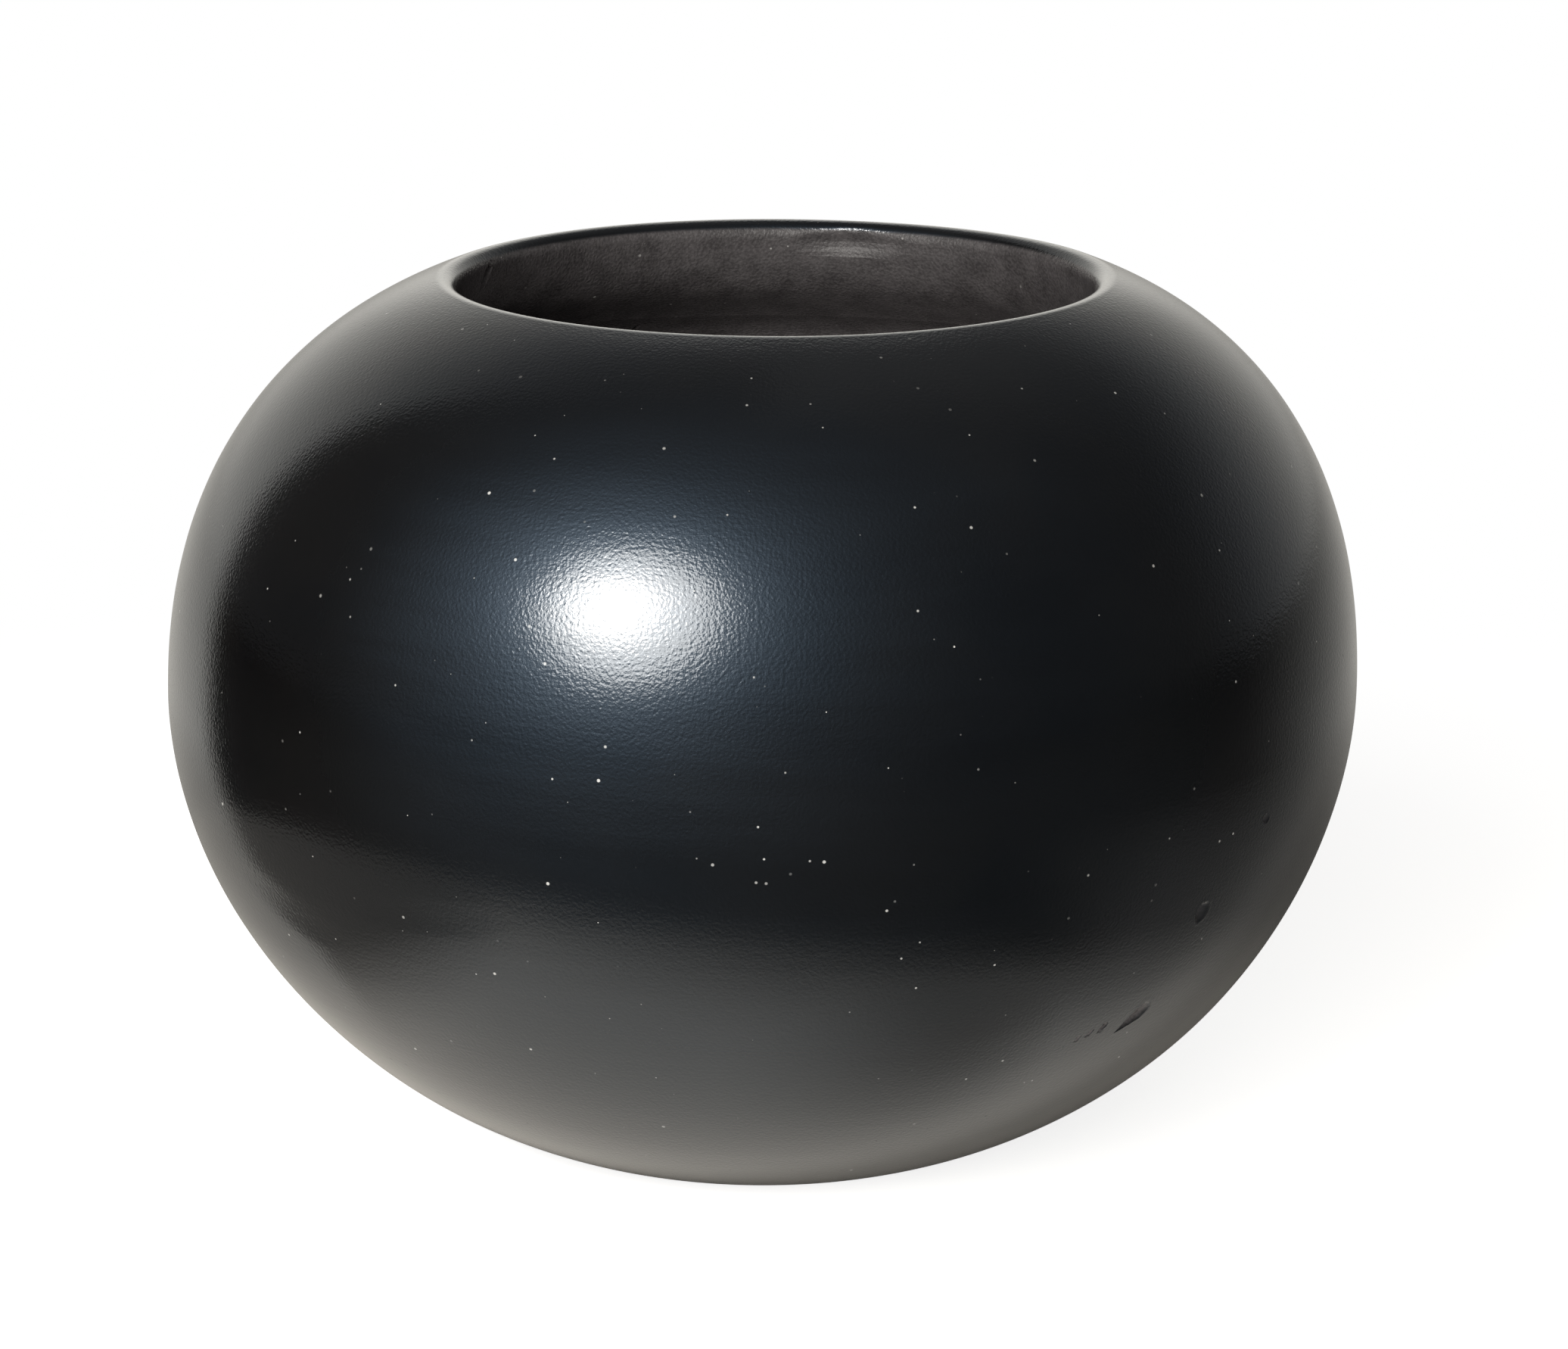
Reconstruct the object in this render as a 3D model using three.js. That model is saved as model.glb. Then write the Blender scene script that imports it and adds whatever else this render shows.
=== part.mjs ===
// A small round pottery jar with a flat foot, a full belly and a narrow mouth.
// Millimetres, +Z up, origin at the centre of the flat face that the jar rests on.
// The jar is built up by hand: a pat of clay is pressed into a shallow bowl to make the
// base, coils of clay are laid on it one by one, and a last coil makes the round lip.
// Each coil is pressed on over a bevel, so its inner edge reaches below its outer edge.
import * as THREE from 'three';

// Outer form
const JAR_HEIGHT = 92.4; // crest of the lip above the resting face
const BELLY_RADIUS = 63.5; // widest ring
const BELLY_HEIGHT = 48.7; // height of the widest ring
const FOOT_RADIUS = 24; // flat resting face
const HEEL_RADIUS = 9; // round turn from the resting face into the wall
const MOUTH_RADIUS = 33.6; // narrowest ring of the mouth
const LIP_RADIUS = 1.7; // round edge of the lip
const LIP_TURN = 118; // degrees of that round, from the outside to the inside of the rim

// Fullness of the wall's curve, across and upward: 2 and 2 would be an ellipse
const LOWER_CURVE = { across: 2.25, up: 1.84 };
const UPPER_CURVE = { across: 2.97, up: 2.18 };

// Sideways drift of the hand-built wall along X
const BELLY_DRIFT = -0.08; // centre of the widest ring
const MOUTH_DRIFT = 1.28; // centre of the lip

// Clay
const FLOOR_THICKNESS = 7; // middle of the base
const WALL_THICKNESS = 4.8;
const RIM_THICKNESS = 8.2; // wall below the lip, where the rim is left full inside
const RIM_TAPER = 48; // stretch below the lip over which that wall thins
const FINGER_HOLLOW = 0.4; // shallow scraped hollow inside each coil
const BOWL_FLATNESS = 0.62; // how far the inner floor stays level, as a share of its radius
const BOWL_SIDE = 0.45; // how far the inner wall stays steep, as a share of the bowl's depth

// Coils and their joints
const BASE_RISE = 14; // height of the base pat's outer edge
const COIL_DIAMETER = 8.8; // rope of clay as rolled, before it is pinched into the wall
const RIM_COIL_WIDTH = 9; // last coil, from its outer edge to the round of the lip
const JOINT_LAP = 4; // how far a joint's inner edge lies below its outer edge

// Facets
const TURNS = 48; // round the jar
const OUTER_STEPS = 4; // up the outside of a coil
const INNER_STEPS = 3; // up the inside of a coil
const RIM_STEPS = 8; // up the inside of the rim coil
const HEEL_STEPS = 3;
const BASE_STEPS = 6; // up the outside of the base, from the heel to its edge
const LIP_STEPS = 8;
const BOWL_STEPS = 6;
const MEASURING_STEPS = 600; // along the wall, for lengths

const FIRED_CLAY = { color: 0x1b1a1a, roughness: 0.35, metalness: 0 };

// Where a range splits into a part that still lies below the place sought and the rest
function split(low, high, isBelow, halvings = 50) {
  const middle = (low + high) / 2;
  if (halvings === 0) return middle;
  const [from, to] = isBelow(middle) ? [middle, high] : [low, middle];
  return split(from, to, isBelow, halvings - 1);
}

// The round turn that a wall curve runs into. The curve (r / belly)^across + (h / rise)^up = 1
// starts upright at the widest ring, with h measured from there. Its rise is the one that
// makes it tangent to the round, where the two have the same slope.
function roundTurn(centreRadius, centreReach, radius, curve) {
  const touchAt = (angle) => {
    const r = centreRadius + radius * Math.cos(angle);
    const reach = centreReach + radius * Math.sin(angle);
    const rise = reach / (1 - (r / BELLY_RADIUS) ** curve.across) ** (1 / curve.up);
    const upward = (curve.up * (reach / rise) ** curve.up) / reach;
    const outward = (curve.across * (r / BELLY_RADIUS) ** curve.across) / r;
    return { angle, reach, rise, slope: Math.atan2(upward, outward) };
  };
  return touchAt(split(0, Math.PI / 2, (angle) => touchAt(angle).slope > angle));
}

const LIP_CENTRE = new THREE.Vector2(MOUTH_RADIUS + LIP_RADIUS, JAR_HEIGHT - LIP_RADIUS);
const heel = roundTurn(FOOT_RADIUS, BELLY_HEIGHT - HEEL_RADIUS, HEEL_RADIUS, LOWER_CURVE);
const lip = roundTurn(LIP_CENTRE.x, LIP_CENTRE.y - BELLY_HEIGHT, LIP_RADIUS, UPPER_CURVE);

// The outside of the wall in section, x outward and y upward, from the heel to the lip
class OuterWall extends THREE.Curve {
  getPoint(t, target = new THREE.Vector2()) {
    const height = BELLY_HEIGHT - heel.reach + t * (heel.reach + lip.reach);
    const [turn, curve] = height < BELLY_HEIGHT ? [heel, LOWER_CURVE] : [lip, UPPER_CURVE];
    const share = Math.min(Math.abs(height - BELLY_HEIGHT) / turn.rise, 1);
    return target.set(BELLY_RADIUS * (1 - share ** curve.up) ** (1 / curve.across), height);
  }
}

const outerWall = new OuterWall();
outerWall.arcLengthDivisions = MEASURING_STEPS;
const WALL_LENGTH = outerWall.getLength();

// Distances are measured up the outside. Past its end, beside the lip, it is taken straight on.
function directionAt(distance) {
  return outerWall.getTangentAt(Math.min(distance / WALL_LENGTH, 1));
}

function outerPoint(distance) {
  const past = Math.max(distance - WALL_LENGTH, 0);
  const point = outerWall.getPointAt((distance - past) / WALL_LENGTH);
  return point.addScaledVector(directionAt(distance), past);
}

// Where the lip's round ends, as a distance past the outside's end and a depth in from it. The
// inside leaves it in the round's own direction and eases into the full rim.
const roundPast = THREE.MathUtils.degToRad(LIP_TURN) - Math.PI / 2;
const rimPast = LIP_RADIUS * Math.cos(roundPast);
const rimDepth = LIP_RADIUS * (1 + Math.sin(roundPast));
const rimEase = (RIM_THICKNESS - rimDepth) * Math.tan(roundPast);

// The inside of the wall lies one thickness in from the outside, square to it
function innerPoint(distance) {
  const along = directionAt(distance);
  const inward = new THREE.Vector2(-along.y, along.x);
  const below = WALL_LENGTH - distance;
  const hollowed = (RIM_THICKNESS - rimDepth) * Math.exp(-(below + rimPast) / rimEase);
  const thinned = THREE.MathUtils.smoothstep(below, 0, RIM_TAPER);
  const thickness = THREE.MathUtils.lerp(RIM_THICKNESS - hollowed, WALL_THICKNESS, thinned);
  return outerPoint(distance).addScaledVector(inward, thickness);
}

// Points from one distance to another, both ends included
function stretch(pointAt, from, to, steps) {
  return Array.from({ length: steps + 1 }, (_, step) => pointAt(from + ((to - from) * step) / steps));
}

function arc(centre, radius, from, to, steps) {
  const pointAt = (angle) => {
    const direction = new THREE.Vector2(Math.cos(angle), Math.sin(angle));
    return direction.multiplyScalar(radius).add(centre);
  };
  return stretch(pointAt, from, to, steps);
}

// The inside of a coil between its two joints, pressed in a little by the fingers
function fingeredInside(from, to) {
  const pointAt = (distance) => {
    const along = directionAt(distance);
    const outward = new THREE.Vector2(along.y, -along.x);
    const pressed = FINGER_HOLLOW * Math.sin((Math.PI * (distance - from)) / (to - from));
    return innerPoint(distance).addScaledVector(outward, pressed);
  };
  return stretch(pointAt, from, to, INNER_STEPS);
}

// Sideways drift of the wall's centre: none at the foot, and a smooth bend through the others
function driftAt(height) {
  const belly = (BELLY_DRIFT * (height - JAR_HEIGHT)) / (BELLY_HEIGHT * (BELLY_HEIGHT - JAR_HEIGHT));
  const mouth = (MOUTH_DRIFT * (height - BELLY_HEIGHT)) / (JAR_HEIGHT * (JAR_HEIGHT - BELLY_HEIGHT));
  return height * (belly + mouth);
}

// A piece turned from its section. The section runs up the outside and back down the inside.
function turned(name, section) {
  const geometry = new THREE.LatheGeometry(section, TURNS);
  geometry.rotateX(Math.PI / 2);
  const position = geometry.getAttribute('position');
  for (let i = 0; i < position.count; i += 1) {
    position.setX(i, position.getX(i) + driftAt(position.getZ(i)));
  }
  geometry.computeVertexNormals();
  const mesh = new THREE.Mesh(geometry, new THREE.MeshStandardMaterial(FIRED_CLAY));
  mesh.name = name;
  return mesh;
}

// The base: level underneath, turned up at the heel, with a smooth bowl inside
function basePat(edge) {
  const foot = new THREE.Vector2(0, 0);
  const heelCentre = new THREE.Vector2(FOOT_RADIUS, HEEL_RADIUS);
  const round = arc(heelCentre, HEEL_RADIUS, -Math.PI / 2, -heel.angle, HEEL_STEPS);
  const outside = stretch(outerPoint, 0, edge, BASE_STEPS).slice(1);
  const top = innerPoint(edge - JOINT_LAP);
  const along = directionAt(edge - JOINT_LAP);
  const depth = top.y - FLOOR_THICKNESS;
  const bowl = new THREE.CubicBezierCurve(
    top,
    top.clone().addScaledVector(along, -depth * BOWL_SIDE),
    new THREE.Vector2(top.x * BOWL_FLATNESS, FLOOR_THICKNESS),
    new THREE.Vector2(0, FLOOR_THICKNESS),
  );
  return turned('base_pat', [foot, ...round, ...outside, ...bowl.getSpacedPoints(BOWL_STEPS)]);
}

function wallCoil(name, lower, upper) {
  const outside = stretch(outerPoint, lower, upper, OUTER_STEPS);
  const inside = fingeredInside(lower - JOINT_LAP, upper - JOINT_LAP).reverse();
  return turned(name, [...outside, ...inside, outside[0]]);
}

// The last coil carries the lip, whose round runs on into the steep inside of the full rim
function rimCoil(lower) {
  const outside = stretch(outerPoint, lower, WALL_LENGTH, OUTER_STEPS);
  const roundEnd = lip.angle + THREE.MathUtils.degToRad(LIP_TURN);
  const round = arc(LIP_CENTRE, LIP_RADIUS, lip.angle, roundEnd, LIP_STEPS).slice(1);
  const inside = stretch(innerPoint, WALL_LENGTH + rimPast, lower - JOINT_LAP, RIM_STEPS).slice(1);
  return turned('rim_coil', [...outside, ...round, ...inside, outside[0]]);
}

// A rolled coil keeps its clay as it is pinched to the belly's thickness, which sets how wide
// it becomes, and so how many coils reach from the base to the rim
const baseEdge = split(0, WALL_LENGTH, (distance) => outerPoint(distance).y < BASE_RISE);
const rimEdge = WALL_LENGTH - RIM_COIL_WIDTH;
const pinchedWidth = (Math.PI * COIL_DIAMETER ** 2) / 4 / WALL_THICKNESS;
const coilCount = Math.max(1, Math.round((rimEdge - baseEdge) / pinchedWidth));
const coilWidth = (rimEdge - baseEdge) / coilCount;

const wall = new THREE.Group();
for (let coil = 0; coil < coilCount; coil += 1) {
  const lower = baseEdge + coil * coilWidth;
  wall.add(wallCoil(`wall_coil_${coil + 1}`, lower, lower + coilWidth));
}

const jar = new THREE.Group();
jar.add(basePat(baseEdge), wall, rimCoil(rimEdge));

export default jar;
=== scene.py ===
"""A small hand-coiled pottery jar: smoke-blackened clay, slipped and burnished outside, bare inside.

Every length is in metres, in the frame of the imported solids: +Z up, the origin at the centre of
the foot's resting face, and the photograph's viewer on the -Y side. Each piece of clay is turned
from its section by one Geometry Nodes tree, and the marks of use are cut into it afterwards.
"""

from __future__ import annotations

import logging
import math
from collections.abc import Callable, Iterable, Sequence
from dataclasses import dataclass, field
from enum import Enum
from typing import NamedTuple

import bmesh
import bpy
import numpy as np
from bpy.types import Material, Node, NodeSocket, NodeTree, Object
from mathutils import Matrix, Vector, noise


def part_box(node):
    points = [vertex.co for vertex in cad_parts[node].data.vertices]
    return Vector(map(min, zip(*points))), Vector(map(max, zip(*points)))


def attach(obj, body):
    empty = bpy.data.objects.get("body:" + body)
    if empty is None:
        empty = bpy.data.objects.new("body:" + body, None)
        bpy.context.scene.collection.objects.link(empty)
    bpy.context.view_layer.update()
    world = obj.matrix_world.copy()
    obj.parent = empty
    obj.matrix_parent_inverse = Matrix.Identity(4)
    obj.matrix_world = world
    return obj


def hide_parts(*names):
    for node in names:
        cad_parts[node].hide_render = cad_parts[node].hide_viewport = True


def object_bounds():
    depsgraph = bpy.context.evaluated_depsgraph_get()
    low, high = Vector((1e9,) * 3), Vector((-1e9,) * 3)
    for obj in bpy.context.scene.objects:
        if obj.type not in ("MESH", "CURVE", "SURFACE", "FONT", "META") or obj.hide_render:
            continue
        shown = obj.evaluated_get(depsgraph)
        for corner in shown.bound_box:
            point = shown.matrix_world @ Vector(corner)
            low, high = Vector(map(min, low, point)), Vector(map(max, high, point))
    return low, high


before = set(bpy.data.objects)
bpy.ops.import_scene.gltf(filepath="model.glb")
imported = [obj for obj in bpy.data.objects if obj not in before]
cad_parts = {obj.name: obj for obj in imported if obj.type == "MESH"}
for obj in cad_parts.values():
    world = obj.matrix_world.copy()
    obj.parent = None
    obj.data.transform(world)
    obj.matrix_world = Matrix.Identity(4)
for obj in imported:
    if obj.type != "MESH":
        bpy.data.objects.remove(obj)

MM = 0.001
DEGREE = math.pi / 180
CAD_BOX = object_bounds()
LOG = logging.getLogger("pottery_jar")

Colour = tuple[float, float, float]
WHITE: Colour = (1.0, 1.0, 1.0)
WARM_WHITE: Colour = (1.0, 0.97, 0.9)


class Trait(Enum):
    """What a point of a section knows about its clay, from 0 to 1."""

    POLISH = "polish"
    JOINT = "joint"


class Step(NamedTuple):
    """A smooth step: where it starts and ends, and its value before and after."""

    start: float
    end: float
    before: float = 0.0
    after: float = 1.0


def sign(operation: str) -> Callable[[Wire, Value], Wire]:
    """A sign between a wire and another wire or a number, which adds a Math node."""
    return lambda wire, other: wire.bench.maths(operation, wire, other)


class Wire:
    """An output in a node tree. The usual signs between wires and numbers add Math nodes."""

    __add__ = __radd__ = sign("ADD")
    __mul__ = __rmul__ = sign("MULTIPLY")
    __sub__, __truediv__, __pow__ = sign("SUBTRACT"), sign("DIVIDE"), sign("POWER")

    def __init__(self, bench: NodeBench, socket: NodeSocket) -> None:
        """Keeps the socket, and the bench that adds nodes to its tree."""
        self.bench, self.socket = bench, socket

    def __rtruediv__(self, other: float) -> Wire:
        """A number divided by this."""
        return self.bench.maths("DIVIDE", other, self)


Value = Wire | float


class NodeBench:
    """Short calls that add, fill and join the nodes of one tree."""

    def __init__(self, tree: NodeTree) -> None:
        """Starts on a shader or geometry tree."""
        self.tree = tree

    def feed(self, socket: NodeSocket, value: object) -> None:
        """Links a wire into an input, or sets the input's own value.

        Args:
            socket: the input.
            value: a wire or a plain value. A colour leaves out its opacity.
        """
        if isinstance(value, Wire):
            self.tree.links.new(value.socket, socket)
        elif socket.type == "RGBA":
            socket.default_value = (*value, 1.0)
        else:
            socket.default_value = value

    def node(self, kind: str, inputs: dict | None = None, **settings: object) -> Node:
        """Adds one node.

        Args:
            kind: its type name.
            inputs: wires or values for its inputs, by name or place.
            settings: its own settings.

        Returns:
            The node.
        """
        node = self.tree.nodes.new(kind)
        for name, value in settings.items():
            setattr(node, name, value)
        for name, value in (inputs or {}).items():
            self.feed(node.inputs[name], value)
        return node

    def wires(self, kind: str, inputs: dict | None = None, **settings: object) -> dict[str, Wire]:
        """All outputs of a new node, by name."""
        outputs = self.node(kind, inputs, **settings).outputs
        return {socket.name: Wire(self, socket) for socket in outputs}

    def add(
        self, kind: str, inputs: dict | None = None, output: str | int = 0, **settings: object
    ) -> Wire:
        """One output of a new node, by name or place."""
        return Wire(self, self.node(kind, inputs, **settings).outputs[output])

    def maths(self, operation: str, *values: Value, clamp: bool = False) -> Wire:
        """The result of a Math node, kept between 0 and 1 where it is clamped."""
        inputs = dict(enumerate(values))
        return self.add("ShaderNodeMath", inputs, operation=operation, use_clamp=clamp)

    def vector_maths(self, operation: str, *values: Wire) -> Wire:
        """The result of a Vector Math node."""
        return self.add("ShaderNodeVectorMath", dict(enumerate(values)), operation=operation)

    def vector(self, x: Value, y: Value, z: Value) -> Wire:
        """Three numbers joined into a vector."""
        return self.add("ShaderNodeCombineXYZ", {0: x, 1: y, 2: z})

    def split(self, vector: Wire) -> list[Wire]:
        """The X, Y and Z of a vector."""
        return list(self.wires("ShaderNodeSeparateXYZ", {0: vector}).values())

    def scaled(self, vector: Wire | Colour, share: Wire) -> Wire:
        """A vector or a colour times a number."""
        inputs = {"Vector": vector, "Scale": share}
        return self.add("ShaderNodeVectorMath", inputs, operation="SCALE")

    def ramp(
        self, value: Value, start: Value, end: Value, before: float = 0.0, after: float = 1.0
    ) -> Wire:
        """A smooth step between two values, with the result before it and the one after it."""
        inputs = {"Value": value, "From Min": start, "From Max": end, "To Min": before, "To Max": after}
        return self.add("ShaderNodeMapRange", inputs, interpolation_type="SMOOTHSTEP")

    def noise(self, place: Wire, scale: Wire, detail: float) -> Wire:
        """A noise value around 0.5, with a number of waves in a metre and finer octaves."""
        return self.add("ShaderNodeTexNoise", {"Vector": place, "Scale": scale, "Detail": detail})

    def mix(self, share: Wire, first: Wire | Colour, second: Wire | Colour) -> Wire:
        """A colour between two colours."""
        return self.add("ShaderNodeMix", {0: share, 6: first, 7: second}, 2, data_type="RGBA")


def eased(value: float, start: float, end: float) -> float:
    """A smooth step from 0 at the start to 1 at the end."""
    share = min(max((value - start) / (end - start), 0.0), 1.0)
    return share * share * (3 - 2 * share)


def drifted(height: Value, top: Value, belly: Value, at_top: Value, at_belly: Value) -> Value:
    """The sideways drift at a height: none at the foot, and a smooth bend above it.

    Args:
        height: the height, as a number or a wire, as the others are too.
        top: the height of the lip.
        belly: the height of the widest ring.
        at_top: the drift at the lip.
        at_belly: the drift at the widest ring.

    Returns:
        How far the wall's centre lies to the right of the foot's.
    """
    of_belly = at_belly * (height - top) / (belly * (belly - top))
    of_top = at_top * (height - belly) / (top * (top - belly))
    return height * (of_belly + of_top)


def places_of(piece: Object) -> np.ndarray:
    """Reads where a piece's vertices are.

    Args:
        piece: the piece.

    Returns:
        The places, one in each row.
    """
    places = np.empty(3 * len(piece.data.vertices), dtype=np.float32)
    piece.data.vertices.foreach_get("co", places)
    return places.reshape(-1, 3)


@dataclass(frozen=True)
class Fullness:
    """Exponents of one half of the wall's curve: 2 and 2 would be an ellipse."""

    across: float
    up: float


@dataclass(frozen=True)
class RoundTurn:
    """A round that the wall's curve runs into.

    Attributes:
        angle: where they touch, from level.
        reach: the touch's height from the widest ring.
        rise: the wall curve's own half height, which makes the two tangent.
    """

    angle: float
    reach: float
    rise: float


@dataclass(frozen=True)
class SectionPoint:
    """A point of a piece's section.

    Attributes:
        radius: distance from the jar's axis.
        height: height above the resting face.
        polish: 1 where the slip is burnished, 0 where the clay is bare.
        joint: 1 on a face that is luted to the next piece.
    """

    radius: float
    height: float
    polish: float = 1.0
    joint: float = 0.0


@dataclass(frozen=True)
class JarForm:
    """The jar's shape in section. The overall height and width come from the frame."""

    height: float = CAD_BOX[1].z
    belly_radius: float = (CAD_BOX[1].y - CAD_BOX[0].y) / 2
    belly_height: float = 48.7 * MM
    foot_radius: float = 24 * MM
    heel_radius: float = 9 * MM
    mouth_radius: float = 33.6 * MM
    lip_radius: float = 1.7 * MM
    lip_turn: float = 118 * DEGREE
    lower_curve: Fullness = Fullness(across=2.25, up=1.84)
    upper_curve: Fullness = Fullness(across=2.97, up=2.18)
    belly_drift: float = -0.08 * MM
    mouth_drift: float = 1.28 * MM
    floor_thickness: float = 7 * MM
    wall_thickness: float = 4.8 * MM
    rim_thickness: float = 8.2 * MM
    rim_taper: float = 48 * MM
    finger_hollow: float = 0.4 * MM
    base_rise: float = 14 * MM
    rim_coil_width: float = 9 * MM
    joint_lap: float = 4 * MM
    measuring_steps: int = 4000
    halvings: int = 50

    def round_turn(self, radius_at: float, reach_at: float, radius: float, curve: Fullness) -> RoundTurn:
        """Finds where the wall's curve runs into a round.

        Args:
            radius_at: the round's centre, from the axis.
            reach_at: the round's centre, in height from the widest ring.
            radius: the round's own radius.
            curve: the wall curve's exponents.

        Returns:
            The turn that makes the two tangent.
        """

        def touch(angle: float) -> tuple[RoundTurn, float]:
            """Lets the two touch at an angle.

            Args:
                angle: the angle on the round.

            Returns:
                The turn, and the wall curve's slope there.
            """
            r = radius_at + radius * math.cos(angle)
            reach = reach_at + radius * math.sin(angle)
            rise = reach / (1 - (r / self.belly_radius) ** curve.across) ** (1 / curve.up)
            upward = curve.up * (reach / rise) ** curve.up / reach
            outward = curve.across * (r / self.belly_radius) ** curve.across / r
            return RoundTurn(angle, reach, rise), math.atan2(upward, outward)

        low, high = 0.0, math.pi / 2
        for _ in range(self.halvings):
            middle = (low + high) / 2
            if touch(middle)[1] > middle:
                low = middle
            else:
                high = middle
        return touch((low + high) / 2)[0]

    def drift(self, height: float) -> float:
        """How far the wall's centre lies to the right of the foot's at a height."""
        return drifted(height, self.height, self.belly_height, self.mouth_drift, self.belly_drift)

    @property
    def heel(self) -> RoundTurn:
        """The turn from the resting face into the wall."""
        reach = self.belly_height - self.heel_radius
        return self.round_turn(self.foot_radius, reach, self.heel_radius, self.lower_curve)

    @property
    def lip_centre(self) -> tuple[float, float]:
        """Radius and height of the centre of the lip's round."""
        return self.mouth_radius + self.lip_radius, self.height - self.lip_radius

    @property
    def lip(self) -> RoundTurn:
        """The turn from the wall into the lip."""
        radius, height = self.lip_centre
        return self.round_turn(radius, height - self.belly_height, self.lip_radius, self.upper_curve)


class WallRule:
    """Points of the wall, by the distance along its outside from the heel.

    The inside leaves the lip's round in the round's own direction and eases into the full rim.
    Where the round ends is kept as a distance past the outside's end and a depth in from it.
    """

    def __init__(self, form: JarForm) -> None:
        """Measures the outside once, in fine steps.

        Args:
            form: the jar's sizes.
        """
        self.form = form
        self.heel, self.lip = form.heel, form.lip
        low, high = form.belly_height - self.heel.reach, form.belly_height + self.lip.reach
        self._heights = np.linspace(low, high, form.measuring_steps)
        radii = np.array([self.radius_at(height) for height in self._heights])
        steps = np.hypot(np.diff(radii), np.diff(self._heights))
        self._distances = np.concatenate([[0.0], np.cumsum(steps)])
        self.length = float(self._distances[-1])
        past = form.lip_turn - math.pi / 2
        self.rim_past = form.lip_radius * math.cos(past)
        self.rim_hollow = form.rim_thickness - form.lip_radius * (1 + math.sin(past))
        self.rim_ease = self.rim_hollow * math.tan(past)

    def radius_at(self, height: float) -> float:
        """Measures the outside.

        Args:
            height: the height.

        Returns:
            The radius there.
        """
        form, rise = self.form, height - self.form.belly_height
        turn, curve = (self.heel, form.lower_curve) if rise < 0 else (self.lip, form.upper_curve)
        share = min(abs(rise) / turn.rise, 1.0)
        return form.belly_radius * (1 - share**curve.up) ** (1 / curve.across)

    def outer(self, distance: float) -> np.ndarray:
        """Finds a point of the outside, which is taken straight on past its end at the lip.

        Args:
            distance: how far up the outside.

        Returns:
            The point's radius and height.
        """
        past = max(distance - self.length, 0.0)
        height = float(np.interp(distance - past, self._distances, self._heights))
        place = np.array([self.radius_at(height), height])
        return place + self.along(self.length) * past if past else place

    def along(self, distance: float) -> np.ndarray:
        """Finds the direction of the outside.

        Args:
            distance: how far up the outside.

        Returns:
            The direction upward.
        """
        step = self.length / self.form.measuring_steps
        way = self.outer(min(distance + step, self.length)) - self.outer(max(distance - step, 0.0))
        return way / np.hypot(*way)

    def inward(self, distance: float) -> np.ndarray:
        """The direction from the outside into the clay, square to the wall."""
        along = self.along(min(distance, self.length))
        return np.array([-along[1], along[0]])

    def inner(self, distance: float, pressed: float = 0.0) -> np.ndarray:
        """Finds the point of the inside that is opposite a distance on the outside.

        Args:
            distance: how far up the outside.
            pressed: how far the fingers pressed the inside back towards the outside.

        Returns:
            The point's radius and height.
        """
        form, below = self.form, self.length - distance
        hollowed = self.rim_hollow * math.exp(-(below + self.rim_past) / self.rim_ease)
        thinned = eased(below, 0.0, form.rim_taper)
        thickness = (form.rim_thickness - hollowed) * (1 - thinned) + form.wall_thickness * thinned
        return self.outer(distance) + self.inward(distance) * (thickness - pressed)

    def distance_at(self, height: float) -> float:
        """The distance up the outside at which it reaches a height, running on past its end."""
        past = max(height - self._heights[-1], 0.0)
        return float(np.interp(height, self._heights, self._distances)) + past


@dataclass(frozen=True)
class Grading:
    """How finely a section is cut.

    Short seam steps beside a joint keep the shading even across it. A joint's bevel is cut at
    shares of its width.
    """

    step: float = 0.6 * MM
    inner_step: float = 1.0 * MM
    rim_step: float = 0.3 * MM
    seam_steps: tuple[float, ...] = (0.04 * MM, 0.12 * MM, 0.3 * MM)
    joint_shares: tuple[float, ...] = (0.02, 0.2, 0.4, 0.6, 0.8, 0.98)
    lip_steps: int = 28
    heel_steps: int = 6

    def stretch(self, start: float, end: float, step: float) -> list[float]:
        """Places between two joints, with short steps beside both.

        Args:
            start: the first place.
            end: the last place.
            step: the usual step.

        Returns:
            The places, both ends included.
        """
        *beside, last = np.cumsum(self.seam_steps)
        count = max(2, round((end - start - 2 * last) / step))
        middle = np.linspace(start + last, end - last, count + 1)
        low = [start, *(start + place for place in beside)]
        high = [*(end - place for place in reversed(beside)), end]
        return [*low, *map(float, middle), *high]


@dataclass(frozen=True)
class Finishes:
    """The two materials of a piece: its open faces and its luted ones."""

    clay: Material
    joint: Material


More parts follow.
